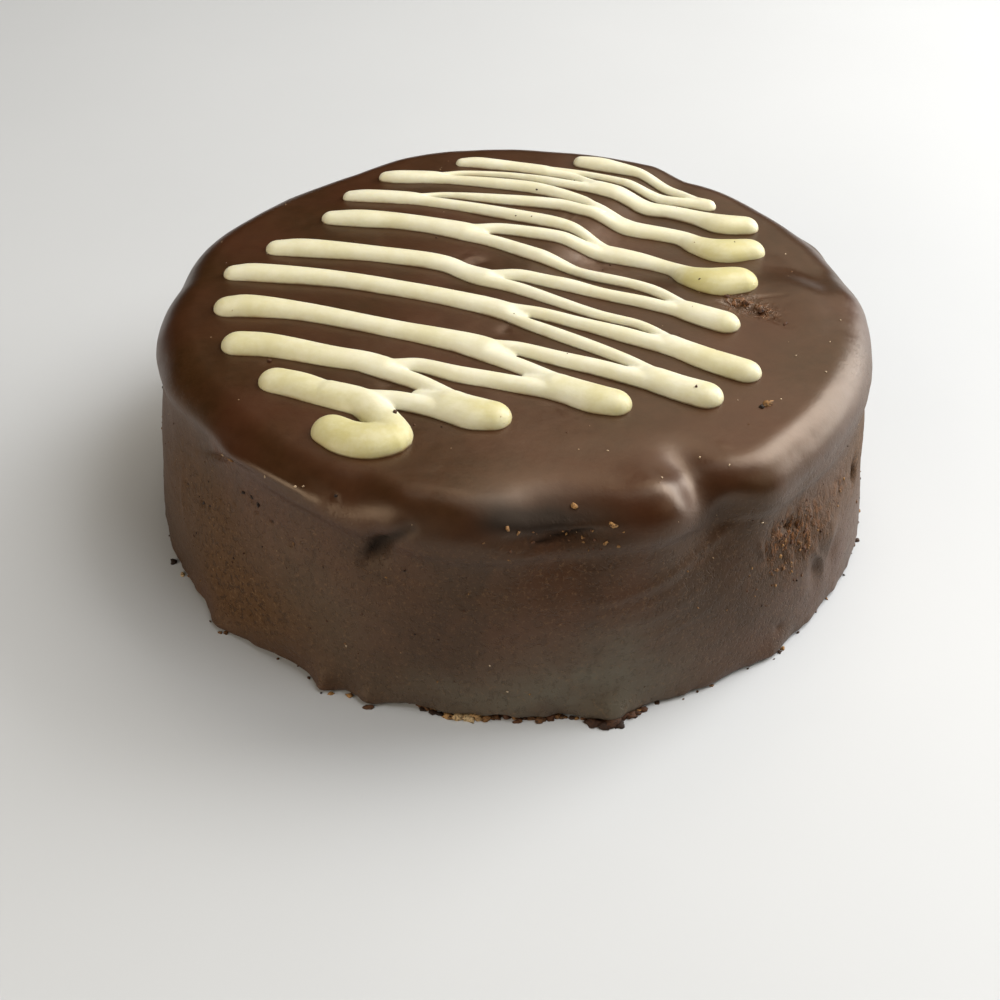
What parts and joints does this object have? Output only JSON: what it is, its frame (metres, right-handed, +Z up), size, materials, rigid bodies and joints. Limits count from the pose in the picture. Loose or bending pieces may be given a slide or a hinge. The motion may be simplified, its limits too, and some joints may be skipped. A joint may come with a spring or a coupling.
{
  "type": "chocolate cake",
  "caption": "Round uncut chocolate cake with a smooth chocolate coating, and white chocolate piped to and fro across its top.",
  "frame": {"origin": "centre of the flat underside's plane, on the axis of the turned body", "axes": "+Z up through the cake, +X to the right and +Y away as the picture shows the cake"},
  "size_m": [0.2108, 0.2108, 0.0682],
  "materials": {
    "chocolate": "satin milk chocolate coating",
    "white_chocolate": "satin white chocolate",
    "crumb": "rough, dry sponge crumb"
  },
  "bodies": {
    "root": {"cake": "chocolate"}
  },
  "joints": []
}
